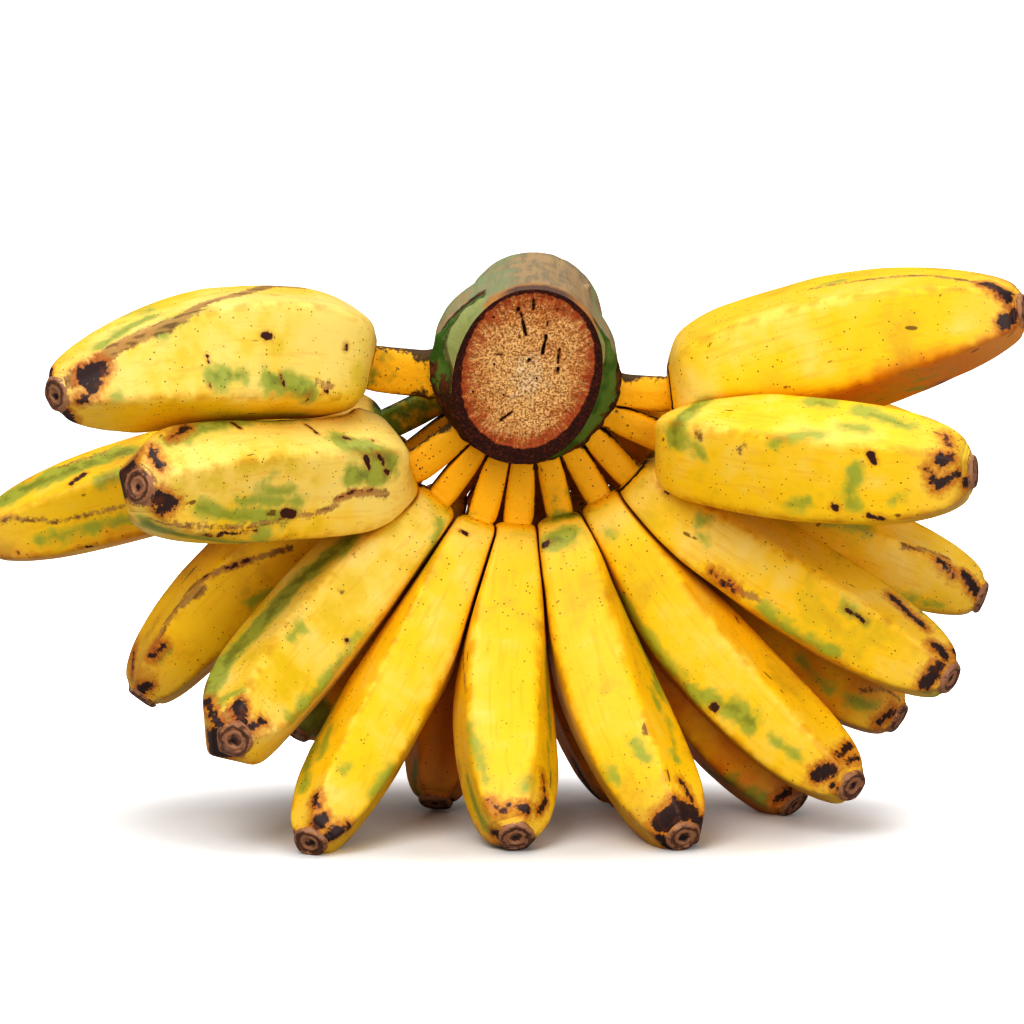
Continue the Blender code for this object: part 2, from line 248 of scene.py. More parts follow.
def makePeel():
    c = {key: colour(*value) for key, value in peelFinish.items() if isinstance(value, tuple)}
    material, tree, shader = newMaterial("banana peel")
    grain = read(tree, "grain", 1)        # the finger straightened out, across, across and along
    wide = noise(tree, grain, 38, 1)
    middle = noise(tree, grain, 150, 2, 0.55)
    small = noise(tree, grain, 520, 2, 0.6)
    streak = noise(tree, stretch(tree, grain, (1, 1, 0.10)), 520, 1, 0.6)

    # yellow, from lemon to orange, partly the peel's own tone and partly painted light: the palest lemon
    # carries a painted sheen, and the orange end is painted shade where the skin faces down, on its side
    # toward the back of the hand and on the back row
    warmthAndShade = roughen(tree, read(tree, "warmthAndShade"), (wide, 0.40))
    warmthAndShade = calc(tree, "ADD", warmthAndShade, spread(tree, middle, 0.22), clamp=True)
    skinColour = mix(tree, step(tree, warmthAndShade, 0.0, 0.5), c["lemonAndSheen"], c["yellow"])
    skinColour = mix(tree, step(tree, warmthAndShade, 0.5, 1.1), skinColour, c["orangeAndShade"])
    skinColour = mix(tree, product(tree, read(tree, "pale"), 0.75), skinColour, c["pale"])
    skinColour = mix(tree, product(tree, step(tree, streak, 0.52, 0.72), 0.16), skinColour, c["orangeAndShade"])

    # green, in soft translucent patches with darker hearts; on fingers lying in the shade of others the green
    # is also painted darker as shade
    greenEdge = roughen(tree, read(tree, "green"), (middle, 4.5), (small, 0.8))
    greenMask = step(tree, greenEdge, 2.6, -2.2)
    blotch = product(tree, step(tree, roughen(tree, wide, (middle, 0.25)), 0.54, 0.74), 0.26)
    greenMask = calc(tree, "MAXIMUM", greenMask, blotch)
    heart = product(tree, step(tree, greenEdge, 0.5, -3.5), step(tree, middle, 0.40, 0.62))
    # the hearts, plus each finger's painted shade on its green
    darkHeartsAndShade = calc(tree, "ADD", heart, read(tree, "darkHeartsAndShade"), clamp=True)
    greenColour = mix(tree, darkHeartsAndShade, c["green"], c["darkGreenAndShade"])
    skinColour = mix(tree, product(tree, greenMask, 0.80), skinColour, greenColour)

    # orange-brown along the ridges in patches, and scuffs
    ridge = product(tree, read(tree, "ridge"), step(tree, middle, 0.38, 0.66), 0.40)
    skinColour = mix(tree, ridge, skinColour, c["halo"])
    scuffEdge = roughen(tree, read(tree, "scuff"), (small, 2.2))
    scuffMask = product(tree, step(tree, scuffEdge, 0.9, -0.6), 0.82)
    scuffColour = mix(tree, step(tree, streak, 0.46, 0.62), c["scuff"], c["scuffDark"])
    skinColour = mix(tree, scuffMask, skinColour, scuffColour)

    # specks, and short scratches like hairs along and across the finger
    speckMask = []
    for scale, smallest, largest, share in ((520, 0.10, 0.22, 0.42), (150, 0.03, 0.080, 0.66)):
        cell = add(tree, "TexVoronoi", {"Vector": grain, "Scale": scale, "Randomness": 1.0})
        chance = add(tree, "SeparateColor", {0: cell.node.outputs["Color"]})
        size = calc(tree, "MULTIPLY_ADD", chance.node.outputs[1], largest - smallest, smallest)
        inside = calc(tree, "SUBTRACT", size, cell)
        chosen = step(tree, chance, share, share + 0.05)
        speckMask.append(product(tree, step(tree, inside, 0.0, 0.04), chosen))
    specks = calc(tree, "MAXIMUM", *speckMask)
    specks = product(tree, specks, step(tree, wide, 0.28, 0.50))
    slanting = stretch(tree, grain, (0.35, 1.0, 0.12))
    scratches = step(tree, noise(tree, slanting, 620, 0), 0.80, 0.83)
    scratches = product(tree, scratches, step(tree, middle, 0.50, 0.56))
    marks = calc(tree, "MAXIMUM", specks, scratches)
    skinColour = mix(tree, product(tree, marks, 0.78), skinColour, c["speck"])

    # red-brown spots, then black stains in an orange halo
    spotEdge = roughen(tree, read(tree, "spot"), (small, 1.0))
    spotMask = step(tree, spotEdge, 0.25, -0.25)
    skinColour = mix(tree, product(tree, step(tree, spotEdge, 1.6, 0.0), 0.35), skinColour, c["halo"])
    skinColour = mix(tree, spotMask, skinColour, mix(tree, middle, c["spot"], c["stain"]))
    stainEdge = roughen(tree, read(tree, "stain"), (small, 2.6), (middle, 1.6))
    skinColour = mix(tree, product(tree, step(tree, stainEdge, 4.4, 0.0), 0.80), skinColour, c["halo"])
    stainMask = product(tree, step(tree, stainEdge, 0.6, -0.5), 0.96)
    stainColour = mix(tree, step(tree, middle, 0.48, 0.68), c["stain"], c["stainBrown"])
    skinColour = mix(tree, stainMask, skinColour, stainColour)

    # the stem and the line where it joins the body
    stem = read(tree, "stem")
    stemColour = mix(tree, step(tree, calc(tree, "ADD", middle, read(tree, "stemGreen")), 0.80, 1.20),
                     c["stem"], c["stemGreen"])
    stemSpecks = calc(tree, "MAXIMUM", marks, step(tree, small, 0.70, 0.75))
    stemColour = mix(tree, product(tree, stemSpecks, 0.85), stemColour, c["stemDark"])
    stemEdge = roughen(tree, read(tree, "stemEdge"), (small, 0.55))
    stemColour = mix(tree, product(tree, step(tree, stemEdge, 0.72, 1.02), 0.92), stemColour, c["stemDark"])
    skinColour = mix(tree, stem, skinColour, stemColour)
    neck = roughen(tree, read(tree, "neck"), (small, 0.6))
    skinColour = mix(tree, step(tree, neck, 0.38, 0.85), skinColour, c["stemDark"])

    # the dried flower scar: uneven rings round its centre
    scar = read(tree, "scar")             # mm from the scar's centre, 20 off the scar
    wavy = roughen(tree, scar, (middle, 2.4), (small, 1.6))
    scarColour = mix(tree, step(tree, calc(tree, "SINE", calc(tree, "MULTIPLY", wavy, 1.7)), -0.3, 0.9),
                     c["scar"], c["scarDark"])
    scarColour = mix(tree, step(tree, wavy, 1.5, 0.3), scarColour, c["stain"])
    scarEdge = roughen(tree, scar, (small, 2.8))
    skinColour = mix(tree, step(tree, scarEdge, 8.0, 6.4), skinColour, scarColour)

    tree.links.new(skinColour, shader.inputs["Base Color"])
    rough = calc(tree, "MULTIPLY_ADD", scuffMask, 0.20, peelFinish["roughness"])
    rough = calc(tree, "MULTIPLY_ADD", stem, 0.12, rough, clamp=True)
    tree.links.new(rough, shader.inputs["Roughness"])
    shader.inputs["Specular IOR Level"].default_value = peelFinish["specular"]

    # relief: fine grain all over, stronger on the scar and the stem
    strong = calc(tree, "ADD", step(tree, scar, 9.0, 5.0), stem, clamp=True)
    height = product(tree, small, calc(tree, "MULTIPLY_ADD", strong, 0.9, 0.35))
    normal = add(tree, "Bump", {"Height": height, "Distance": 0.0004, "Strength": 0.8})
    tree.links.new(normal, shader.inputs["Normal"])
    return material


# the bananas
fingerShape = {
    "stemHalfDepth": 0.0050,
    "ridgeFaces": (90.0, 18.0, 162.0, -54.0, -126.0),  # five flat sides; 90 faces the front of the hand
    "rounding": 13.0,
    "sharper": 8.0,                       # how much crisper the ridges are at the tip
    "spineSteps": 120,
    "scarReach": 0.0034,                  # the centre line goes this far past the body, through the scar
    "shoulder": (-0.002, 0.028),          # where the swelling starts and ends, from the neck
    "endFrom": 0.86,                      # share of the body where its rows start to crowd for the blunt end
    "frontGrid": (132, 128),              # rows along, without the tip's, and sides
    "backGrid": (100, 84),
    "markRows": (20, 40, 70, 40),         # a plainer skin for looking up pixels: stem, neck, body and end
    "markSides": 180,
    "hiddenPixels": 40,                   # a point that faces away counts as this much further off
    "unevenMm": 0.30,
    "grooveMm": 0.35,                     # the crease where stem meets body
    # the blunt end in rows: share of the body's outline, radius of the scar's circle in mm, height in mm
    "tipProfile": (
        (1.00, 0.0, 0.0), (0.97, 0.0, 0.40), (0.91, 0.0, 0.80), (0.84, 0.0, 1.15), (0.45, 3.2, 1.45),
        (0.12, 5.6, 1.60), (0.0, 6.2, 2.00), (0.0, 6.0, 2.60), (0.0, 5.6, 3.10), (0.0, 5.0, 3.35),
        (0.0, 4.4, 3.15), (0.0, 3.9, 2.75), (0.0, 3.4, 2.95), (0.0, 2.8, 3.15), (0.0, 2.2, 2.70),
        (0.0, 1.5, 2.30), (0.0, 0.9, 2.55), (0.0, 0.4, 2.80),
    ),
}

# row, place round the crown, (swing, lean) of the stem, of the body where it leaves the stem and of the tip,
# then in mm stem length and half width, body length, half width and half depth, then the turn of the ridges,
# how late the body bends and how blunt it stays
fingers = {
    "banana_front_1": ("front", -80, (-95, 0), (-121, 17), (-83, 43), 26, 8.6, 128, 26.4, 25.2, 20, 0.4, 1.2),
    "banana_front_2": ("front", -39, (-55, 4), (-96, 30), (-104, 52), 27, 6.2, 118, 24.8, 23, 0, 1.3, 3.6),
    "banana_front_3": ("front", -28, (-36, 0), (-47, 17), (-50, 85), 28, 5.2, 137, 19.6, 20, 0, 1.6, 3.6),
    "banana_front_4": ("front", -15, (-16, 4), (-28, 24), (-41, 61), 29, 5.6, 143.8, 16.0, 18, 0, 1.3, 3.6),
    "banana_front_5": ("front", -3, (-3, 3), (-9, 27), (15, 67), 28, 5.8, 126.6, 18.3, 19, 0, 1.4, 3.6),
    "banana_front_6": ("front", 12, (12, 3), (11, 24), (47, 60), 26, 5.2, 135.8, 17.8, 19, 0, 1.4, 3.6),
    "banana_front_7": ("front", 26, (29, 1), (31, 10), (67, 49), 25, 5.2, 145, 17.4, 19, 0, 1.4, 3.6),
    "banana_front_8": ("front", 40, (42, 1), (56, 10), (69, 35), 25, 5.2, 138, 17.9, 19, 0, 1.3, 3.6),
    "banana_front_9": ("front", 55, (67, 8), (93, 50), (95, 16), 27, 5.6, 125, 22.0, 22.4, 0, 1.4, 3.6),
    "banana_front_10": ("front", 69, (86, -1), (112, 2), (103, 20), 22, 6.6, 131, 25.4, 25.2, -15, 0.8, 1.5),
    "banana_back_1": ("back", -57, (-64, 2), (-75, -5), (-73, 10), 28, 5.8, 155, 19.0, 19, 0, 1.3, 3.6),
    "banana_back_2": ("back", -42, (-50, 0), (-60, -7), (-38, 22), 26, 5.6, 137, 17.8, 19, 0, 1.0, 3.6),
    "banana_back_3": ("back", -25, (-25, 0), (-27, -7), (-43, 31), 29, 6.2, 107, 17.0, 19, 0, 0.9, 3.6),
    "banana_back_4": ("back", -12, (-16, 0), (-12, 5), (-9, 38), 23, 5.6, 117.8, 16.0, 18, 0, 1.1, 3.6),
    "banana_back_5": ("back", 6, (8, 1), (5, 0), (26, 33), 24, 5.6, 116.7, 17.0, 18, 0, 0.9, 3.6),
    "banana_back_6": ("back", 21, (23, 1), (24, 5), (48, 35), 25, 5.6, 141.4, 19.5, 19, 0, 1.0, 3.6),
    "banana_back_7": ("back", 33, (35, 0), (42, -2), (62, 25), 29, 5.6, 137, 18.0, 19, 0, 1.3, 3.6),
    "banana_back_8": ("back", 46, (49, 1), (64, -2), (73, 19), 28, 5.6, 134, 17.0, 19, 0, 1.1, 3.6),
    "banana_back_9": ("back", 59, (66, 0), (79, -4), (84, 17), 24, 5.8, 108, 19.0, 19, 0, 1.3, 3.6),
}

# what each finger's skin shows: its warmth, 0 lemon to 1 orange, is partly the peel's ripeness and partly
# painted shade, highest on the back row; low is painted shade that makes it warmer where it faces down; and
# how much its green is painted darker as shade; neck how dark the line at the stem is, and by kind of mark
# its strokes: each a half width in mm and then pixels of the photo
markings = {
    "banana_front_1": {
        "warmthAndShade": 0.1, "low": 0.35, "neck": 0.9, "stemGreen": 0.3,
        "green": ((3.5, (212, 378), (240, 376)), (4.0, (270, 380), (290, 383), (308, 390)),
            (1.2, (108, 398), (118, 395)), (2.0, (160, 330), (190, 312), (205, 308)),
            (2.8, (100, 347), (125, 330), (150, 316)),),
        "stain": ((3.0, (86, 376), (100, 369)), (2.2, (92, 388), (97, 382)), (2.6, (64, 412), (70, 422)),
            (1.0, (80, 402), (84, 396)),),
        "scuff": (
            (2.1, (120, 345), (150, 330), (180, 318), (205, 303), (235, 295), (270, 286), (300, 288)),
            (1.0, (196, 312), (212, 300), (232, 296)), (2.2, (70, 380), (95, 365), (112, 352)),
            (1.0, (318, 382), (330, 388)),),
        "spot": ((1.5, (265, 336), (271, 336)), (1.0, (347, 345), (347, 349)),
            (0.5, (209, 355), (210, 361)), (0.6, (280, 375), (283, 384)), (0.5, (324, 392), (328, 392)),
            (0.5, (305, 402), (312, 392)), (0.4, (209, 385), (211, 388)),),
    },
    "banana_front_2": {
        "warmthAndShade": 0.06, "neck": 0.6,
        "green": ((4.2, (170, 440), (215, 424), (260, 418), (300, 418)),
            (5, (340, 440), (370, 450), (390, 465)), (4, (350, 475), (385, 475)),
            (2.0, (240, 500), (300, 500)), (2.6, (200, 507), (230, 515), (290, 515)),
            (4.5, (150, 525), (200, 538), (250, 542), (300, 540)), (2, (270, 490), (290, 492)),),
        "stain": ((1.9, (120, 488), (128, 472)), (2.8, (148, 496), (170, 500)),
            (1.5, (160, 510), (175, 502)), (1.3, (152, 452), (160, 466)), (0.9, (186, 427), (172, 437)),),
        "scuff": ((0.5, (150, 518), (175, 524), (200, 526), (250, 524), (290, 518)),
            (1.6, (335, 500), (350, 493), (370, 492), (385, 494)),
            (0.8, (300, 516), (320, 512), (338, 505)),),
        "spot": ((0.45, (337, 498), (352, 491), (372, 489)), (1.9, (285, 512), (293, 513)),
            (0.8, (231, 423), (239, 428)), (0.8, (280, 418), (287, 420)), (0.7, (342, 438), (350, 439)),
            (0.8, (380, 455), (385, 465)), (0.8, (386, 470), (388, 473)), (1.0, (365, 458), (370, 468)),
            (0.6, (306, 424), (320, 434)), (0.5, (372, 440), (376, 441)), (0.4, (200, 534), (222, 536)),
            (0.55, (220, 533), (256, 529)),),
    },
    "banana_front_3": {
        "warmthAndShade": 0.18, "neck": 0.5,
        "green": ((5.5, (345, 543), (300, 580), (260, 625), (225, 665), (205, 695)),
            (1.8, (440, 520), (430, 550), (405, 590)), (2.0, (345, 655), (320, 690), (290, 720)),
            (1.6, (222, 700), (240, 690)), (1.4, (292, 640), (300, 625)),),
        "stain": ((1.1, (208, 700), (214, 716), (222, 728)), (2.2, (238, 706), (242, 722)),
            (1.8, (222, 738), (236, 748)), (1.2, (250, 728), (262, 722)),),
        "scuff": ((3.2, (226, 716), (240, 722)),),
        "spot": ((1.1, (400, 490), (405, 494)), (0.8, (345, 640), (346, 642)),),
    },
    "banana_front_4": {
        "warmthAndShade": 0.4, "neck": 0.55, "stemGreen": 0.16,
        "green": ((2.2, (330, 690), (312, 740), (303, 790)), (1.8, (322, 755), (330, 730)),
            (1.6, (392, 768), (372, 795)), (0.9, (345, 772), (350, 768)), (1.6, (466, 515), (474, 522)),),
        "stain": ((1.2, (314, 796), (318, 806)), (2.0, (316, 826), (324, 818)),
            (1.6, (326, 838), (340, 832)), (1.0, (334, 828), (350, 828)),),
        "spot": ((1.0, (462, 531), (466, 532)),),
    },
    "banana_front_5": {
        "warmthAndShade": 0.42, "neck": 0.0, "stemGreen": -0.2,
        "green": ((2.4, (546, 650), (548, 700), (549, 740)), (1.5, (470, 728), (478, 752), (486, 778)),
            (2.4, (468, 780), (478, 812), (490, 832)), (1.7, (530, 776), (526, 788)),
            (0.9, (548, 745), (551, 790)),),
        "stain": ((1.1, (500, 812), (508, 808)), (1.3, (520, 806), (528, 808)),
            (0.9, (543, 776), (544, 792)), (1.5, (496, 834), (502, 840)), (1.0, (538, 812), (545, 800)),
            (1.2, (520, 843), (527, 840)), (0.6, (490, 802), (498, 808)),),
        "scuff": ((0.7, (464, 650), (466, 690)),),
    },
    "banana_front_6": {
        "warmthAndShade": 0.44, "neck": 0.45, "stemGreen": 0.3,
        "green": ((4.6, (556, 538), (568, 534)), (2.0, (640, 612), (652, 650), (662, 700)),
            (2.2, (652, 690), (658, 706)), (1.3, (606, 768), (622, 785)), (1.5, (632, 740), (645, 760)),
            (0.9, (668, 720), (675, 760)),),
        "stain": ((4.2, (662, 820), (680, 812)), (3.6, (676, 806), (692, 812)),
            (3.0, (664, 840), (685, 846)), (2.2, (696, 822), (700, 832)), (0.8, (682, 782), (692, 802)),),
        "spot": ((1.0, (544, 544), (548, 543)),),
    },
    "banana_front_7": {
        "warmthAndShade": 0.42, "neck": 0.5,
        "green": ((2.8, (624, 598), (646, 636), (672, 672), (690, 690)),
            (2.6, (680, 685), (715, 700), (745, 715)), (3.8, (730, 705), (750, 722)),
            (1.0, (800, 760), (770, 735)), (1.0, (608, 534), (614, 538)),),
        "stain": ((2.2, (815, 775), (830, 768)), (1.4, (838, 756), (848, 746)),
            (1.0, (834, 786), (842, 792)), (0.9, (846, 760), (856, 760)),),
        "spot": ((1.5, (711, 705), (715, 708)), (0.35, (622, 590), (624, 593)),
            (0.4, (735, 616), (738, 622)),),
    },
    "banana_front_8": {
        "warmthAndShade": 0.32, "neck": 1.2, "stemGreen": 0.1,
        "green": ((1.4, (842, 606), (868, 624)), (1.6, (698, 519), (704, 522)),
            (0.8, (700, 535), (705, 540)), (1.9, (760, 610), (800, 638), (840, 655)),),
        "stain": ((1.1, (890, 595), (910, 615), (925, 628)), (2.4, (935, 645), (945, 655)),
            (2.4, (926, 682), (938, 668)), (1.0, (955, 650), (962, 660)), (0.5, (712, 572), (735, 590)),),
        "scuff": ((0.8, (720, 582), (760, 600)),),
        "spot": ((0.6, (845, 608), (866, 623)), (0.7, (667, 492), (669, 494)),
            (0.5, (660, 482), (672, 488)), (0.5, (668, 480), (680, 486)),),
    },
    "banana_front_9": {
        "warmthAndShade": 0.32, "neck": 0.9,
        "green": ((4.5, (702, 402), (686, 415), (676, 440)), (1.8, (695, 448), (706, 458)),
            (3.4, (812, 400), (828, 404)), (2.0, (775, 440), (820, 434)), (2.2, (845, 425), (865, 428)),
            (3.0, (860, 410), (905, 425)), (2.2, (855, 470), (846, 495), (850, 505)),
            (1.2, (893, 497), (900, 495)), (1.3, (785, 504), (810, 500)),),
        "stain": ((1.8, (939, 459), (948, 457)), (1.4, (945, 437), (948, 445)),
            (1.3, (938, 485), (958, 474)), (1.8, (966, 482), (974, 476)), (0.5, (928, 470), (934, 483)),),
        "scuff": ((1.0, (697, 432), (700, 436)), (0.8, (745, 445), (740, 450)),),
        "spot": ((1.1, (836, 508), (834, 506)), (1.2, (871, 453), (873, 462)),
            (0.8, (868, 515), (885, 518)),),
    },
    "banana_front_10": {
        "warmthAndShade": 0.36, "low": 0.75, "neck": 1.3, "stemGreen": -0.1,
        "green": ((0.8, (825, 284), (845, 280)), (0.8, (905, 390), (930, 388)),
            (0.7, (920, 380), (935, 376)),),
        "stain": ((2.2, (985, 285), (1006, 294)), (2.4, (1004, 322), (1016, 314)),
            (0.8, (935, 392), (948, 386)),),
        "scuff": ((0.8, (810, 289), (880, 278), (930, 276)), (1.1, (940, 277), (980, 283)),
            (1.6, (1000, 290), (1012, 310)),),
    },
    "banana_back_1": {
        "warmthAndShade": 0.5, "neck": 0.4, "stemGreen": 0.6,
        "green": ((5.0, (5, 500), (60, 474), (130, 450)), (2.6, (100, 480), (130, 470)),
            (1.6, (40, 540), (90, 528), (130, 520)),),
        "scuff": ((0.6, (60, 468), (110, 450)), (0.6, (0, 520), (60, 522), (130, 505)),),
        "spot": ((1.3, (72, 484), (86, 474)), (0.6, (80, 548), (95, 547)),),
    },
    "banana_back_2": {
        "warmthAndShade": 0.5, "neck": 0.5,
        "green": ((1.6, (250, 600), (280, 590)), (1.2, (160, 660), (170, 650)),),
        "stain": ((1.3, (140, 690), (150, 684)), (1.0, (152, 655), (164, 645)),
            (0.7, (134, 650), (132, 676)),),
        "scuff": ((1.0, (290, 548), (230, 568), (190, 590), (165, 625), (150, 655)),
            (2.0, (183, 602), (200, 590)),),
        "spot": ((0.6, (225, 570), (250, 560)), (0.5, (200, 580), (210, 574)),),
    },
    "banana_back_3": {
        "warmthAndShade": 0.7, "neck": 0.5, "darkHeartsAndShade": 0.6,
        "green": ((9.0, (300, 690), (310, 720)),),
    },
    "banana_back_4": {
        "warmthAndShade": 0.95, "neck": 0.5, "darkHeartsAndShade": 0.4,
        "green": ((2.0, (415, 760), (424, 805)),),
        "stain": ((4.5, (430, 806), (450, 808)),),
    },
    "banana_back_5": {
        "warmthAndShade": 0.95, "neck": 0.5, "darkHeartsAndShade": 0.3,
        "stain": ((2.0, (572, 760), (592, 800)),),
    },
    "banana_back_6": {
        "warmthAndShade": 0.85, "neck": 0.5, "darkHeartsAndShade": 0.5,
        "green": ((2.2, (705, 768), (735, 785), (760, 800)),),
        "stain": ((1.4, (778, 800), (790, 790)),),
    },
    "banana_back_7": {
        "warmthAndShade": 0.7, "neck": 0.5,
        "green": ((2.4, (850, 700), (870, 706)), (1.4, (800, 660), (830, 690)),),
        "stain": ((1.2, (880, 722), (893, 712)),),
        "scuff": ((0.8, (860, 690), (900, 700)),),
    },
    "banana_back_8": {
        "warmthAndShade": 0.3, "neck": 0.5,
        "green": ((2.2, (815, 515), (870, 530)), (1.2, (880, 590), (940, 605)),),
        "stain": ((1.6, (965, 575), (976, 590)), (0.9, (940, 560), (955, 575)),),
        "scuff": ((1.0, (900, 545), (950, 560)),),
    },
}


def readFinger(row):
    names = ("row", "place", "stem", "body", "tip", "stemLength", "stemWidth", "bodyLength", "width", "depth",
             "turn", "bend", "blunt")
    finger = dict(zip(names, row))
    for key in ("stemLength", "stemWidth", "bodyLength", "width", "depth"):
        finger[key] *= 0.001
    return finger


def crownRadius(angle):
    return hand["crownRadius"] + hand["crownDeeper"] * np.clip(np.cos(angle), 0, 1) ** 2


# headings swing and lean from the stem's to the body's over 20 mm at the neck, and on to the tip's along the
# body, later where bend is more than 1; the centre line is their running sum
def spine(finger):
    reach = finger["stemLength"] + finger["bodyLength"] + fingerShape["scarReach"]
    s = np.linspace(0, reach, fingerShape["spineSteps"] + 1)
    neck = smooth((s - finger["stemLength"] + 0.010) / 0.020)
    late = np.clip((s - finger["stemLength"]) / finger["bodyLength"], 0, 1.03) ** finger["bend"]
    swing, lean = (np.radians(stem + (body - stem) * neck + (tip - body) * late)
                   for stem, body, tip in zip(finger["stem"], finger["body"], finger["tip"]))
    heading = np.stack([np.cos(lean) * np.sin(swing), -np.sin(lean), -np.cos(lean) * np.cos(swing)], -1)
    place = math.radians(finger["place"])
    radius = crownRadius(place)
    start = np.array([radius * math.sin(place), hand["rowY"][finger["row"]], -radius * math.cos(place)])
    steps = np.diff(s)[:, None] * (heading[1:] + heading[:-1]) / 2
    return s, np.concatenate([[start], start + np.cumsum(steps, axis=0)]), heading


# the swelling from stem to body is a rounded step over 30 mm; the body is 7 % thicker at its middle and
# rounds off over its last 55 %
def girth(finger, s):
    x = np.clip((s - finger["stemLength"] + 0.002) / 0.030, 0, 1)
    shoulder = (1 - (1 - x) ** 2.6) ** (1 / 1.8)
    u = (s - finger["stemLength"]) / finger["bodyLength"]
    belly = 0.93 + 0.07 * np.sin(np.pi * np.clip(u, 0, 1))
    t = np.clip((u - 0.45) / 0.55, 0, 1)
    low = 0.26 + 0.05 * finger["blunt"]
    return shoulder, belly * (low + (1 - low) * (1 - t ** finger["blunt"]) ** 0.62)


def meanRadius(finger, s):
    shoulder, size = girth(finger, s)
    stem = (finger["stemWidth"] + fingerShape["stemHalfDepth"]) / 2
    return stem + (size * (finger["width"] + finger["depth"]) / 2 * 0.97 - stem) * shoulder


def superEllipse(angle, width, depth, power):
    return (np.abs(np.cos(angle) / width) ** power + np.abs(np.sin(angle) / depth) ** power) ** (-1 / power)


# for each point, the place on the other centre line that is square to both, and its index there
def squareAcross(points, heading, otherPoints, otherHeading):
    line = otherPoints[None] - points[:, None]
    ahead = (line * (heading[:, None] + otherHeading[None])).sum(-1)
    distance = np.linalg.norm(line, axis=-1)
    crossing = (ahead[:, :-1] < 0) & (ahead[:, 1:] >= 0)
    rows = np.arange(len(points))
    j = np.where(crossing, distance[:, :-1], 9.0).argmin(1)
    part = ahead[rows, j] / np.minimum(ahead[rows, j] - ahead[rows, j + 1], -1e-12)
    index = np.where(crossing.any(1), j + np.clip(part, 0, 1),
                     np.where(ahead[:, 0] >= 0, 0.0, len(otherPoints) - 1.0))
    k = np.minimum(index.astype(int), len(otherPoints) - 2)
    return otherPoints[k] + (index - k)[:, None] * (otherPoints[k + 1] - otherPoints[k]), index


# a soft pentagon times an ellipse, blended from the stem's rounded rectangle, and flattened by a p-norm where
# a neighbour presses on it
def fingerRings(name, allFingers, lines, s, angle):
    finger = allFingers[name]
    u = (s - finger["stemLength"]) / finger["bodyLength"]
    rounding = (fingerShape["rounding"] + fingerShape["sharper"] * smooth(u))[:, None]
    ownS, ownPoints, ownHeading = lines[name]
    points = np.stack([np.interp(s, ownS, ownPoints[:, k]) for k in range(3)], -1)
    heading = unit(np.stack([np.interp(s, ownS, ownHeading[:, k]) for k in range(3)], -1))
    front = unit(np.array([0, -1.0, 0]) - (heading @ np.array([0, -1.0, 0]))[:, None] * heading)
    side = np.cross(front, heading)
    shoulder, size = girth(finger, s)
    flats = np.radians(np.array(fingerShape["ridgeFaces"]) + finger["turn"])[:, None, None]
    pentagon = (np.clip(np.cos(angle - flats), 0, None) ** rounding).sum(0) ** (-1 / rounding)
    body = pentagon * superEllipse(angle, finger["width"] / 1.09, finger["depth"] / 1.06, 2.0) * size[:, None]
    stem = superEllipse(angle, finger["stemWidth"], fingerShape["stemHalfDepth"], 3.0)
    stem = stem * (1 + 0.16 * np.clip(1 - s / 0.006, 0, 1)[:, None] ** 2)
    inverse = (stem + (body - stem) * shoulder[:, None]) ** (-rounding)
    ownRadius = meanRadius(finger, s)
    for otherName, (otherS, otherPoints, otherHeading) in lines.items():
        if otherName == name:
            continue
        place, index = squareAcross(points, heading, otherPoints, otherHeading)
        otherRadius = meanRadius(allFingers[otherName], np.interp(index, np.arange(len(otherS)), otherS))
        between = place - points
        distance = np.linalg.norm(between, axis=1)
        x = (between * side).sum(1) / distance
        y = (between * front).sum(1) / distance
        share = ownRadius / (ownRadius + otherRadius)
        reach = np.maximum(share * distance - hand["sideGap"] / 2, 0.002) / np.maximum(np.hypot(x, y), 0.2)
        toward = np.clip(np.cos(angle - np.arctan2(y, x)[:, None]), 0, None)
        inverse = inverse + (toward / reach[:, None]) ** rounding
    radius = inverse ** (-1 / rounding)
    out = np.cos(angle)[None, :, None] * side[:, None] + np.sin(angle)[None, :, None] * front[:, None]
    return points, heading, radius, out, shoulder


# how far each vertex is from a stroke on the unrolled skin, less the stroke's half width, in mm
def strokeDistance(along, angle, girthMm, points, halfWidth):
    nearest = np.full(along.shape, 99.0)
    pairs = list(zip(points, points[1:])) or [(points[0], points[0])]
    for (fromMm, fromAngle), (toMm, toAngle) in pairs:
        turn = math.radians(toAngle - fromAngle)
        round0 = (angle - math.radians(fromAngle) + math.pi) % (2 * math.pi) - math.pi
        length2 = (toMm - fromMm) ** 2 + (girthMm * turn) ** 2
        t = ((along - fromMm) * (toMm - fromMm) + girthMm ** 2 * round0 * turn) / np.maximum(length2, 1e-6)
        t = np.clip(t, 0, 1)
        d = np.hypot(along - fromMm - t * (toMm - fromMm), girthMm * (round0 - t * turn))
        nearest = np.minimum(nearest, d)
    return nearest - halfWidth


# rows crowd together at the shoulder and at the blunt end
def rowPlaces(finger, stemRows, neckRows, bodyRows, endRows):
    stemLength = finger["stemLength"]
    length = stemLength + finger["bodyLength"]
    shoulderStart, shoulderEnd = (stemLength + place for place in fingerShape["shoulder"])
    endStart = stemLength + fingerShape["endFrom"] * finger["bodyLength"]
    ease = np.linspace(0, 1, neckRows, endpoint=False)
    return np.concatenate([
        np.linspace(0, shoulderStart, stemRows, endpoint=False),
        shoulderStart + (shoulderEnd - shoulderStart) * ease ** 2,
        np.linspace(shoulderEnd, endStart, bodyRows, endpoint=False),
        endStart + (length - endStart) * (1 - (1 - np.linspace(0, 1, endRows)) ** 1.6),
    ])


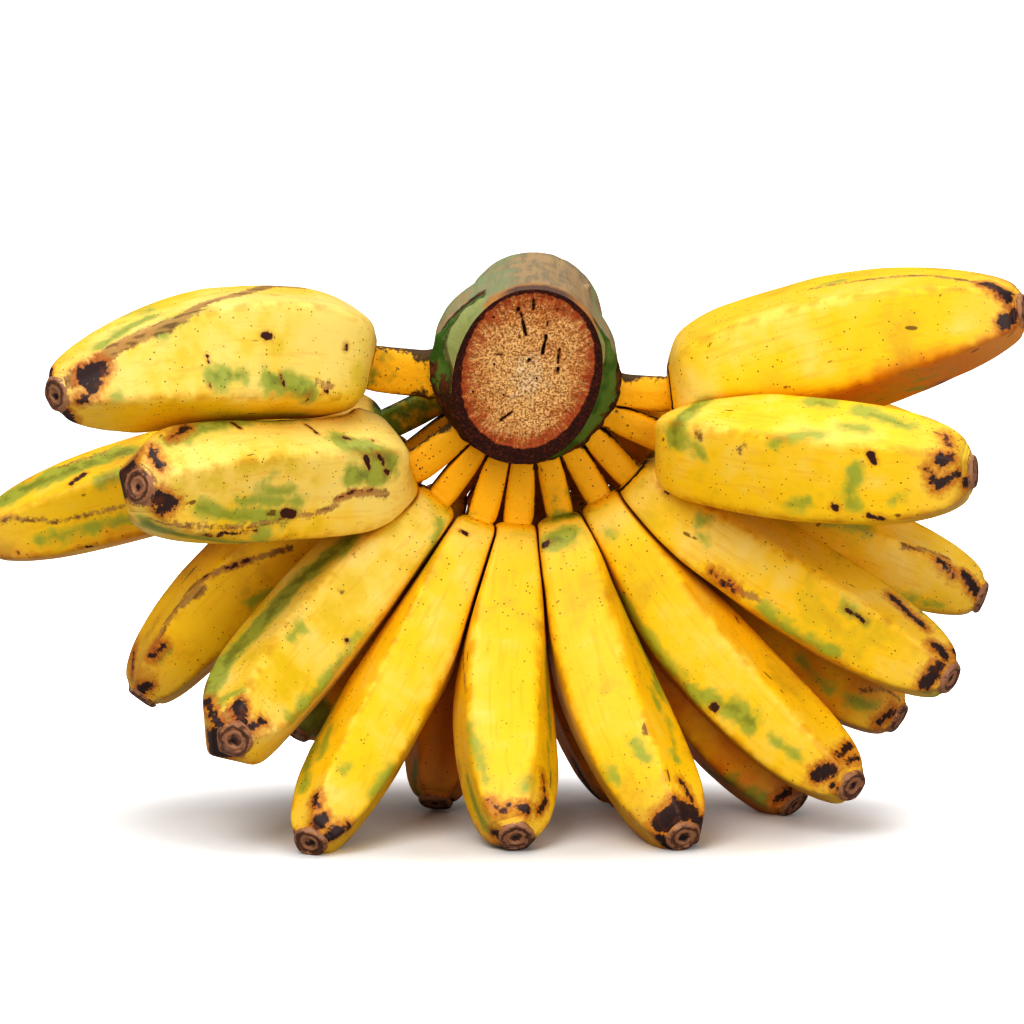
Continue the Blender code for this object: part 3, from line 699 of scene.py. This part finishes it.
# the blunt end and its scar, a profile carried round the tip's axis
def makeTip(centre, heading, radius, out, ragged):
    profile = np.array(fingerShape["tipProfile"])
    fineKnots = np.linspace(0, len(profile) - 1, 2 * len(profile) - 1)[1:]
    outline, circle, height = (np.interp(fineKnots, np.arange(len(profile)), profile[:, k])[:, None]
                               for k in range(3))
    tipRadius = radius[-1] * outline + circle * 0.001 * ragged
    rings = centre[-1] + (height * 0.001)[..., None] * heading[-1] + tipRadius[..., None] * out[-1]
    return rings, tipRadius, outline, circle


# how far along the skin each row is from the neck, in mm
def alongMm(finger, s, rings):
    steps = np.linalg.norm(np.diff(rings, axis=0), axis=-1).mean(1)
    along = np.concatenate([[0], np.cumsum(steps)])
    return (along - np.interp(finger["stemLength"], s, along[:len(s)])) * 1000


# gives a function from a pixel of the photo to mm along the finger from its neck and degrees round it
def photoLookup(name, allFingers, lines):
    finger = allFingers[name]
    s = rowPlaces(finger, *fingerShape["markRows"])
    angle = np.linspace(0, 2 * math.pi, fingerShape["markSides"], endpoint=False)
    centre, heading, radius, out = fingerRings(name, allFingers, lines, s, angle)[:4]
    tip = makeTip(centre, heading, radius, out, np.ones(len(angle)))[0]
    rings = np.concatenate([centre[:, None] + radius[..., None] * out, tip])
    along = alongMm(finger, s, rings)
    world = toWorld(rings)
    line = world - np.array(camera["place"])
    down = math.radians(90 - camera["pitch"])
    depth = line @ np.array([0, math.cos(down), -math.sin(down)])
    height = line @ np.array([0, math.sin(down), math.cos(down)])
    focal = camera["lensMm"] / camera["sensorMm"] * camera["photoPixels"]
    x = camera["photoPixels"] / 2 + focal * line[..., 0] / depth
    y = camera["photoPixels"] / 2 - focal * height / depth
    onward = np.concatenate([np.diff(world, axis=0), world[-1:] - world[-2:-1]])
    outward = np.cross(np.roll(world, -1, 1) - world, onward)
    hidden = (line * outward).sum(-1) >= 0

    def place(pixel):
        off = np.hypot(x - pixel[0], y - pixel[1]) + fingerShape["hiddenPixels"] * hidden
        row, column = np.unravel_index(off.argmin(), off.shape)
        return round(along[row]), round(math.degrees(angle[column]))
    return place


# a stroke's pixels as places on the finger, each turned the short way from the one before
def strokePlaces(lookup, pixels):
    places = []
    for pixel in pixels:
        mm, turn = lookup(pixel)
        if places:
            turn -= 360 * math.ceil((turn - places[-1][1] - 180) / 360)
        if not places or places[-1] != (mm, turn):
            places.append((mm, turn))
    return places


def makeBanana(number, name, allFingers, lines, material):
    finger = allFingers[name]
    stemLength = finger["stemLength"]
    rowCount, sides = fingerShape["frontGrid" if finger["row"] == "front" else "backGrid"]
    angle = np.linspace(0, 2 * math.pi, sides, endpoint=False)
    stemRows, neckRows, endRows = rowCount // 7, rowCount // 4, rowCount // 5
    s = rowPlaces(finger, stemRows, neckRows, rowCount - stemRows - neckRows - endRows, endRows)
    centre, heading, radius, out, shoulder = fingerRings(name, allFingers, lines, s, angle)

    # low uneven swells, a crease at the neck and wrinkles along the stem
    straight = np.stack([np.cos(angle) * radius, np.sin(angle) * radius,
                         np.broadcast_to(s[:, None], radius.shape)], -1) + number * 0.31
    uneven = layeredNoise(straight, 0.022, 3, number) * fingerShape["unevenMm"] * 0.001
    groove = bump(s - stemLength + 0.0026, 0.0008)[:, None] * fingerShape["grooveMm"] * 0.001
    wrinkle = latticeNoise(straight * (1, 1, 0.12), 0.0028, 40 + number) * 0.00022
    radius = radius + uneven * shoulder[:, None] - groove + wrinkle * (1 - shoulder[:, None])
    rings = centre[:, None] + radius[..., None] * out

    circlePoints = np.stack([np.cos(angle), np.sin(angle), 0 * angle + number], -1)
    ragged = 1 + 0.07 * latticeNoise(circlePoints, 0.55, 7)
    tip, tipRadius, outline, circle = makeTip(centre, heading, radius, out, ragged)
    rings = np.concatenate([rings, tip])
    radius = np.concatenate([radius, tipRadius])

    # the root goes a little way into the crown
    rootAngle = np.arctan2(rings[0, :, 0], -rings[0, :, 2])
    rootScale = (crownRadius(rootAngle) - hand["stemSunk"]) / np.hypot(rings[0, :, 0], rings[0, :, 2])
    rings[0, :, 0] *= rootScale
    rings[0, :, 2] *= rootScale

    world = toWorld(rings)
    world[..., 2] = np.maximum(world[..., 2], 0)
    mesh = skin(name, world, world[0].mean(0), world[-1].mean(0))

    # the skin unrolled: mm along it from the neck, and mm of radius
    along = alongMm(finger, s, rings)[:, None] * np.ones((1, sides))
    girthMm = radius.mean(1)[:, None] * 1000 * np.ones((1, sides))
    turned = angle * np.ones_like(along)
    straight = np.stack([np.cos(angle) * radius, np.sin(angle) * radius, along * 0.001], -1) + number * 0.31
    addAttribute(mesh, "grain", straight)

    shown = markings.get(name, {})
    distances = {kind: np.full(along.shape, 20.0) for kind in ("green", "stain", "scuff", "spot")}
    lookup = photoLookup(name, allFingers, lines)
    for kind in distances:
        for halfWidth, *pixels in shown.get(kind, ()):
            d = strokeDistance(along, turned, girthMm, strokePlaces(lookup, pixels), halfWidth)
            distances[kind] = np.minimum(distances[kind], d)
    under = np.clip(-np.sin(angle), 0, 1) * np.ones_like(along)
    # where the strokes don't reach, at the back: scattered green patches and a ragged stain round the tip
    cloud = latticeNoise(straight, 0.030, 80 + number)
    distances["green"] = np.minimum(distances["green"], (0.40 - cloud) * 14 + 8 * (1 - under))
    toTip = along[len(s) - 1, 0] - along
    ragged = latticeNoise(straight, 0.009, 60 + number)
    distances["stain"] = np.minimum(distances["stain"], toTip - 5 - 5 * ragged + 14 * (1 - under))
    for kind, grid in distances.items():
        addAttribute(mesh, kind, grid)

    rows = len(along)
    u = np.clip(along / (1000 * finger["bodyLength"]), 0, 1)
    shoulderAll = np.concatenate([shoulder, np.ones(rows - len(s))])[:, None] * np.ones((1, sides))
    ridges = np.radians(np.array(fingerShape["ridgeFaces"]) + 36 + finger["turn"])
    offRidge = np.abs((angle[:, None] - ridges + math.pi) % (2 * math.pi) - math.pi).min(1)
    down = np.concatenate([-out[..., 2], np.repeat(-out[-1:, :, 2], rows - len(s), axis=0)])
    # painted shade: the skin is made warmer, toward orange, on its side toward the back of the hand and where
    # it faces down; each finger's own value is partly its ripeness and partly painted shade
    warmthAndShade = shown.get("warmthAndShade", 0.45) + 0.30 * under + 0.10 * u + shown.get("low", 0.2) * smooth(down * 1.5)
    for key, grid in {
        "warmthAndShade": warmthAndShade,
        "pale": 0.6 * bump(along - 4, 9) * shoulderAll + 0.25 * smooth((u - 0.85) / 0.15),
        # painted shade: the green of fingers lying in the shade of others is made darker
        "darkHeartsAndShade": shown.get("darkHeartsAndShade", 0.0) * np.ones_like(along),
        "ridge": bump(offRidge * girthMm, 1.6) * smooth(u / 0.2),
        "stem": smooth((0.55 - shoulderAll) / 0.3),
        "stemGreen": bump(along + 2, 5) * 0.25 + shown.get("stemGreen", 0.05),
        "stemEdge": np.abs(np.cos(turned)) ** 3 + 0.5 * bump(along + 1000 * stemLength, 4),
        "neck": bump(along + 2.2, 0.9) * shown.get("neck", 0.6),
    }.items():
        addAttribute(mesh, key, grid)
    scarMm = np.full(along.shape, 20.0)
    scarMm[len(s):] = np.where(outline > 0, np.where(outline < 0.5, 7.0, 20.0), circle)
    addAttribute(mesh, "scar", scarMm)
    addPiece(name + "_skin", mesh, name, material)


allFingers = {name: readFinger(row) for name, row in fingers.items()}
lines = {name: spine(finger) for name, finger in allFingers.items()}
peel = makePeel()
for number, name in enumerate(fingers):
    makeBanana(number, name, allFingers, lines, peel)
print("bananas made:", len(fingers))


# the stalk
stalkShape = {
    "frontY": -0.042,
    "backY": 0.044,
    "cutRadius": 0.0296,
    "cutTaller": 0.0026,
    "cutLeans": 0.0017,
    "cutTopHeavy": 0.0002,
    "backRadius": 0.0266,
    "backDrift": 0.0025,
    "backRise": 0.0030,
    "crownTopRadius": 0.0290,
    "crownEnds": (-150.0, 122.0),
    "collarEnds": (-155.0, 128.0),
    "crownFade": (1.05, 0.80),
    "creaseY": -0.0285,
    "creaseDepth": 0.0012,
    "lipY": -0.0185,
    "lipHeight": 0.0012,
    "sides": 320,
    "corkMm": 0.7,
    "nubAt": 128.0,                       # a small nub low on the right, near the back end
    "nubY": 0.030,
    "nubHeight": 0.0024,
    "rimAt": 0.885,                       # where the hard rim of the cut starts, as a share of its radius
    "rimTop": 0.070,                      # how much thinner it is on top
    "rimSide": 0.012,
    # dark splits in the cut face, mm right and up from its middle, from end to end, with half width
    "splits": (
        (0.45, (2.3, 28.4), (2.3, 24.8)), (0.33, (-2.2, 23.5), (-0.4, 15.5)), (0.36, (6.9, 15.5), (5.6, 9.0)),
        (0.27, (11.6, 10.4), (11.2, 5.4)), (0.30, (11.2, 3.4), (10.8, 1.2)),
        (0.24, (-10.9, 8.3), (-8.7, 8.4)),
        (0.24, (-5.5, -12.8), (-9.3, -15.7)), (0.24, (-8.8, 23.4), (-8.2, 22.8)),
        (0.24, (-3.2, 25.4), (-3.6, 23.8)),
        (0.21, (0.9, 6.6), (0.2, 5.4)), (0.24, (-2.7, 14.9), (-2.9, 14.6)), (0.21, (7.3, 20.6), (7.3, 19.1)),
    ),
}


def splitDistance(x, z):
    nearest = np.full(x.shape, 9.0)
    for halfWidth, (x0, z0), (x1, z1) in stalkShape["splits"]:
        t = ((x - x0) * (x1 - x0) + (z - z0) * (z1 - z0)) / ((x1 - x0) ** 2 + (z1 - z0) ** 2)
        t = np.clip(t, 0, 1)
        d = np.hypot(x - x0 - t * (x1 - x0), z - z0 - t * (z1 - z0)) - halfWidth
        nearest = np.minimum(nearest, d)
    return nearest


# the outline goes from the egg-shaped cut, past a crease, to the cushion that stands out where stems grow,
# with a ragged corky lip, and on to the smaller back end
def stalkRadius(angle, y):
    shape = stalkShape
    first, last = np.radians(shape["crownEnds"])
    turned = np.where(angle < first, angle + 2 * math.pi, angle)
    under = smooth((turned - first) / shape["crownFade"][0]) * smooth((last - turned) / shape["crownFade"][1])
    crown = shape["crownTopRadius"] + (crownRadius(angle) - shape["crownTopRadius"]) * under
    up = math.pi - angle
    cut = (shape["cutRadius"] + shape["cutTaller"] * np.cos(2 * up) + shape["cutLeans"] * np.sin(2 * up)
           + shape["cutTopHeavy"] * np.cos(up))
    radius = cut + (crown - cut) * smooth((y + 0.031) / 0.012)
    radius = radius - shape["creaseDepth"] * under * bump(y - shape["creaseY"], 0.003)
    radius = radius + shape["lipHeight"] * under * bump(y - shape["lipY"], 0.0015)
    radius = shape["backRadius"] + (radius - shape["backRadius"]) * smooth((0.038 - y) / 0.018)
    start, stop = np.radians(shape["collarEnds"])
    turned = np.where(angle < start, angle + 2 * math.pi, angle)
    collar = smooth((turned - start) / 0.25) * smooth((stop - turned) / 0.25) * np.ones_like(y)
    return radius, collar, smooth((y - 0.020) / 0.024)


def makeStalk(material):
    shape = stalkShape
    angle = np.linspace(-math.pi, math.pi, shape["sides"], endpoint=False)[None, :]
    faceShare = np.concatenate([np.linspace(0.015, 0.975, 72), [0.987, 0.996]])
    sideY = np.concatenate([[shape["frontY"] + 0.0003, shape["frontY"] + 0.0008],
                            np.linspace(shape["frontY"] + 0.0013, -0.010, 82),
                            np.linspace(-0.010, shape["backY"] - 0.0012, 56)[1:],
                            [shape["backY"] - 0.0005, shape["backY"] - 0.0001]])
    backShare = np.linspace(0.98, 0.03, 30)
    share = np.concatenate([faceShare, np.ones(len(sideY)), backShare])[:, None]
    faceY, backY = np.full(len(faceShare), shape["frontY"]), np.full(len(backShare), shape["backY"])
    y = np.concatenate([faceY, sideY, backY])[:, None] * np.ones_like(angle)
    radius, collar, bent = stalkRadius(angle, y)
    row = np.arange(len(share))[:, None] * np.ones_like(angle)
    face = (row < len(faceShare)) * 1.0
    back = (row >= len(share) - len(backShare)) * 1.0
    sideMm = (y - shape["frontY"]) * 1000
    edge = 0.0005 * np.clip(1 - sideMm / 1.2, 0, 1) ** 2 * (1 - face)
    x = (radius - edge) * share * np.sin(angle) + shape["backDrift"] * bent
    z = -(radius - edge) * share * np.cos(angle) + shape["backRise"] * bent
    flat = np.stack([x, y, z], -1)

    # the face is spongy and split inside a hard rim, the skin has low ribs, the lip is ragged cork
    up = math.pi - angle
    rimAt = shape["rimAt"] + shape["rimTop"] * np.cos(up) - shape["rimSide"] * np.sin(up) ** 2
    inside = smooth((rimAt - share) / 0.05)
    sponge = layeredNoise(flat, 0.0022, 3, 71) * (0.00012 + 0.00032 * inside)
    splits = splitDistance(x * 1000, z * 1000)
    dish = 0.0004 * inside + 0.0014 * smooth((0.5 - splits) / 0.9)
    ribPoints = np.stack([np.sin(angle) * 0.03 + 0 * y, np.cos(angle) * 0.03 + 0 * y, y * 0.1], -1)
    ribs = latticeNoise(ribPoints, 0.003, 72) * 0.00025
    atLip = collar * bump(y - shape["lipY"], 0.0042)
    cork = layeredNoise(flat, 0.0042, 3, 73) * shape["corkMm"] * 0.001 * atLip
    nubTurn, nubY = math.radians(shape["nubAt"]), shape["nubY"]
    nub = shape["nubHeight"] * bump((angle - nubTurn) * 0.030, 0.0016) * bump(y - nubY, 0.0020)
    push = (ribs + cork + nub) * (1 - face) * (1 - back)
    x = x + push * np.sin(angle)
    z = z - push * np.cos(angle)
    y = y + face * (dish - sponge) + back * sponge
    rings = np.stack([x, y, z], -1)
    world = toWorld(rings)
    mesh = skin("stalk", world, world[0].mean(0), world[-1].mean(0), flip=True)
    addAttribute(mesh, "local", rings)
    # the same place with its distance from the middle squeezed, so that a pattern on it runs outwards
    one = np.ones_like(y)
    addAttribute(mesh, "outward", np.stack([np.sin(angle) * 0.024 * one, share * 0.004 * one,
                                            np.cos(angle) * 0.024 * one], -1))
    for key, grid in {
        "face": face,
        "backFace": back,
        "share": share * np.ones_like(angle),
        "rimAt": np.where(back > 0, 0.92, rimAt),
        "split": np.where(back > 0, 9.0, splits),
        "collar": collar,
        "sideMm": sideMm * (1 - face),
        "upward": -np.cos(angle) * one,
        "leftward": -np.sin(angle) * one,
    }.items():
        addAttribute(mesh, key, grid)
    addPiece("stalk_skin", mesh, "stalk", material)


stalkFinish = {
    "pith": (238, 188, 120),
    "pithPale": (236, 206, 160),
    "pithGold": (208, 138, 72),
    "pithDark": (142, 80, 38),
    "pithRed": (164, 62, 26),
    "rim": (58, 24, 16),
    "rimRed": (104, 44, 24),
    "split": (36, 12, 6),
    "band": (160, 166, 108),
    "bandTan": (190, 146, 78),
    "cushion": (66, 98, 34),
    "cushionPale": (100, 128, 60),
    "cork": (64, 38, 24),
    "corkPale": (112, 66, 42),
    "skinTan": (178, 150, 112),
    "skinGrey": (150, 134, 106),
    "skinGreen": (146, 158, 118),
    "skinWarm": (196, 136, 70),
    "skinPurple": (92, 72, 68),
}


def makeStalkMaterial():
    c = {key: colour(*value) for key, value in stalkFinish.items()}
    material, tree, shader = newMaterial("banana stalk")
    local = read(tree, "local", 1)
    share = read(tree, "share")
    cutMask = step(tree, calc(tree, "ADD", read(tree, "face"), read(tree, "backFace")), 0.3, 0.7)
    grains = noise(tree, local, 1250, 2, 0.7)
    soft = noise(tree, local, 260, 3, 0.65)
    broad = noise(tree, local, 75, 2, 0.6)
    streaks = noise(tree, read(tree, "outward", 1), 900, 2, 0.6)

    # the cut: pale pith full of brown grains, red-brown in streaks towards its rim, with pores and splits
    depth = calc(tree, "SUBTRACT", read(tree, "rimAt"), share)      # 0 at the rim, growing inwards
    pith = mix(tree, step(tree, roughen(tree, share, (soft, 0.5)), 0.0, 0.36),
               c["pithPale"], c["pith"])
    pith = mix(tree, step(tree, roughen(tree, share, (broad, 0.9)), 0.35, 0.95), pith, c["pithGold"])
    pith = mix(tree, product(tree, step(tree, grains, 0.48, 0.58), 0.80), pith, c["pithDark"])
    pith = mix(tree, product(tree, step(tree, grains, 0.44, 0.34), 0.75), pith, c["pithPale"])
    reddish = roughen(tree, depth, (streaks, 0.26), (soft, 0.22), (grains, 0.16))
    pith = mix(tree, product(tree, step(tree, reddish, 0.20, -0.04), 0.82), pith, c["pithRed"])
    rimEdge = roughen(tree, depth, (soft, 0.04))
    rimColour = mix(tree, step(tree, grains, 0.50, 0.66), c["rim"], c["rimRed"])
    pith = mix(tree, step(tree, rimEdge, 0.012, -0.012), pith, rimColour)
    splitEdge = roughen(tree, read(tree, "split"), (soft, 1.2), (grains, 0.9))
    pith = mix(tree, step(tree, splitEdge, 0.25, -0.15), pith, c["split"])
    pores = add(tree, "TexVoronoi", {"Vector": local, "Scale": 260.0, "Randomness": 1.0})
    chance = add(tree, "SeparateColor", {0: pores.node.outputs["Color"]})
    poreMask = product(tree, step(tree, pores, 0.15, 0.09), step(tree, chance, 0.66, 0.70))
    pith = mix(tree, product(tree, poreMask, step(tree, depth, 0.0, 0.1)), pith, c["split"])

    # the skin: tan and grey on top, warm close behind the cut and purple-grey at its very top
    leftward = read(tree, "leftward")
    sideMm = roughen(tree, read(tree, "sideMm"), (soft, 4.0))
    fibre = noise(tree, stretch(tree, local, (1.0, 0.14, 1.0)), 420, 2, 0.6)
    greyness = step(tree, roughen(tree, broad, (fibre, 0.5)), 0.36, 0.66)
    top = mix(tree, greyness, c["skinTan"], c["skinGrey"])
    green = step(tree, roughen(tree, leftward, (broad, 0.8)), 0.05, 0.55)
    top = mix(tree, product(tree, green, 0.75), top, c["skinGreen"])
    top = mix(tree, product(tree, step(tree, sideMm, 20.0, 6.0), 0.85), top, c["skinWarm"])
    offTop = calc(tree, "ABSOLUTE", calc(tree, "ADD", leftward, 0.12))
    purple = product(tree, step(tree, sideMm, 12.0, 6.0), step(tree, offTop, 0.55, 0.25))
    top = mix(tree, product(tree, purple, 0.9), top, c["skinPurple"])
    top = mix(tree, product(tree, step(tree, grains, 0.50, 0.70), 0.25), top, c["skinGrey"])

    # the collar: a pale band by the cut, a dark crease, then the green cushion with its thin corky lip; each
    # lies further back towards the top, and at the lower left there is only cork
    upward = read(tree, "upward")
    further = calc(tree, "MULTIPLY", calc(tree, "MAXIMUM", upward, 0.0), 13.0)
    lowMm = calc(tree, "SUBTRACT", read(tree, "sideMm"), further)
    low = mix(tree, step(tree, calc(tree, "ADD", soft, upward), 0.1, 0.6), c["bandTan"], c["band"])
    cushion = mix(tree, step(tree, broad, 0.42, 0.60), c["cushion"], c["cushionPale"])
    low = mix(tree, step(tree, roughen(tree, lowMm, (soft, 2.0)), 13.6, 15.4), low, cushion)
    crease = calc(tree, "ABSOLUTE", calc(tree, "SUBTRACT", lowMm, 14.4))
    low = mix(tree, product(tree, step(tree, crease, 1.0, 0.3), 0.6), low, c["cork"])
    corkEdge = roughen(tree, lowMm, (soft, 4.5), (broad, 4.0))
    lowerLeft = calc(tree, "MULTIPLY_ADD", leftward, 0.7, spread(tree, soft, 0.5))
    lowerLeft = calc(tree, "SUBTRACT", lowerLeft, upward)
    corkMask = calc(tree, "MAXIMUM", step(tree, corkEdge, 20.6, 21.8), step(tree, lowerLeft, 0.80, 0.95))
    low = mix(tree, corkMask, low, mix(tree, step(tree, soft, 0.45, 0.66), c["cork"], c["corkPale"]))
    behind = mix(tree, step(tree, roughen(tree, broad, (soft, 0.4)), 0.40, 0.62),
                 c["skinGreen"], c["skinTan"])
    low = mix(tree, step(tree, corkEdge, 26.5, 28.5), low, behind)
    collar = roughen(tree, read(tree, "collar"), (soft, 0.7))
    skinColour = mix(tree, step(tree, collar, 0.30, 0.60), top, low)
    skinColour = mix(tree, step(tree, read(tree, "sideMm"), 1.0, 0.3), skinColour, c["rim"])
    skinColour = mix(tree, cutMask, skinColour, pith)
    tree.links.new(skinColour, shader.inputs["Base Color"])
    shader.inputs["Roughness"].default_value = 0.72
    shader.inputs["Specular IOR Level"].default_value = 0.3

    height = product(tree, grains, calc(tree, "MULTIPLY_ADD", cutMask, 0.9, 0.3))
    height = calc(tree, "MULTIPLY_ADD", fibre, 0.7, height)
    normal = add(tree, "Bump", {"Height": height, "Distance": 0.0007, "Strength": 0.9})
    tree.links.new(normal, shader.inputs["Normal"])
    return material


makeStalk(makeStalkMaterial())
print("stalk made")


# floor, light and camera
studio = {
    "floorHalf": 6.0,
    "floor": (0.92, 0.92, 0.93, 1.0),
    "floorUnseen": (0.42, 0.42, 0.42, 1.0),
    "floorGlow": 0.8,
    "glowFrom": (0.7, 1.8),
    "shadowOval": (7.5, 14.0, 0.0),       # one over the half widths of the shaded ground, in metres
    "worldSeen": 1.0,
    "worldLight": 0.22,
}


def makeFloor():
    half = studio["floorHalf"]
    mesh = bpy.data.meshes.new("floor")
    corners = [(-half, -half, 0), (half, -half, 0), (half, half, 0), (-half, half, 0)]
    mesh.from_pydata(corners, [], [(0, 1, 2, 3)])
    floor = bpy.data.objects.new("floor", mesh)
    bpy.context.scene.collection.objects.link(floor)
    material, tree, shader = newMaterial("floor")
    shader.inputs["Roughness"].default_value = 0.35
    shader.inputs["Specular IOR Level"].default_value = 0.25
    # to the eye the floor is white paper that glows outside the hand's shadow, to other rays it is duller
    seen = add(tree, "LightPath")
    tree.links.new(mix(tree, seen, studio["floorUnseen"], studio["floor"]), shader.inputs["Base Color"])
    place = add(tree, "TexCoord", out=3)
    oval = add(tree, "VectorMath", {0: place, 1: studio["shadowOval"]}, operation="MULTIPLY")
    away = add(tree, "VectorMath", {0: oval}, out=1, operation="LENGTH")
    shader.inputs["Emission Color"].default_value = (1, 1, 1, 1)
    glow = product(tree, step(tree, away, *studio["glowFrom"]), studio["floorGlow"], seen)
    tree.links.new(glow, shader.inputs["Emission Strength"])
    mesh.materials.append(material)


def makeWorld():
    world = bpy.data.worlds.new("studio")
    bpy.context.scene.world = world
    world.use_nodes = True
    tree = world.node_tree
    background = tree.nodes["Background"]
    background.inputs["Color"].default_value = (1, 1, 1, 1)
    seen = add(tree, "LightPath")
    strength = add(tree, "Mix", {0: seen, 2: studio["worldLight"], 3: studio["worldSeen"]}, data_type="FLOAT")
    tree.links.new(strength, background.inputs["Strength"])


def addLight(name, place, aim, size, power):
    data = bpy.data.lights.new(name, "AREA")
    data.shape = "RECTANGLE"
    data.size, data.size_y = size
    data.energy = power
    lamp = bpy.data.objects.new(name, data)
    place = np.array(place, dtype=float)
    away = unit(place - np.array(aim, dtype=float))
    lamp.location = place
    lamp.rotation_euler = (math.acos(away[2]), 0, math.atan2(away[0], -away[1]))
    bpy.context.scene.collection.objects.link(lamp)


def makeCamera():
    data = bpy.data.cameras.new("camera")
    data.lens = camera["lensMm"]
    data.sensor_width = camera["sensorMm"]
    data.clip_end = 50.0
    eye = bpy.data.objects.new("camera", data)
    eye.location = camera["place"]
    eye.rotation_euler = (math.radians(camera["pitch"]), 0, 0)
    bpy.context.scene.collection.objects.link(eye)
    bpy.context.scene.camera = eye


makeFloor()
makeWorld()
addLight("key", (-0.5, -0.9, 1.1), (0.0, 0.0, 0.12), (0.9, 0.9), 9.0)
addLight("fill", (0.7, -1.3, 0.5), (0.0, 0.0, 0.12), (0.9, 0.9), 6.8)
addLight("top", (0.0, 0.25, 1.4), (0.0, 0.1, 0.1), (1.4, 1.2), 7.6)
makeCamera()
view = bpy.context.scene.view_settings
view.view_transform = "Standard"
view.look = "High Contrast"
print("studio made")
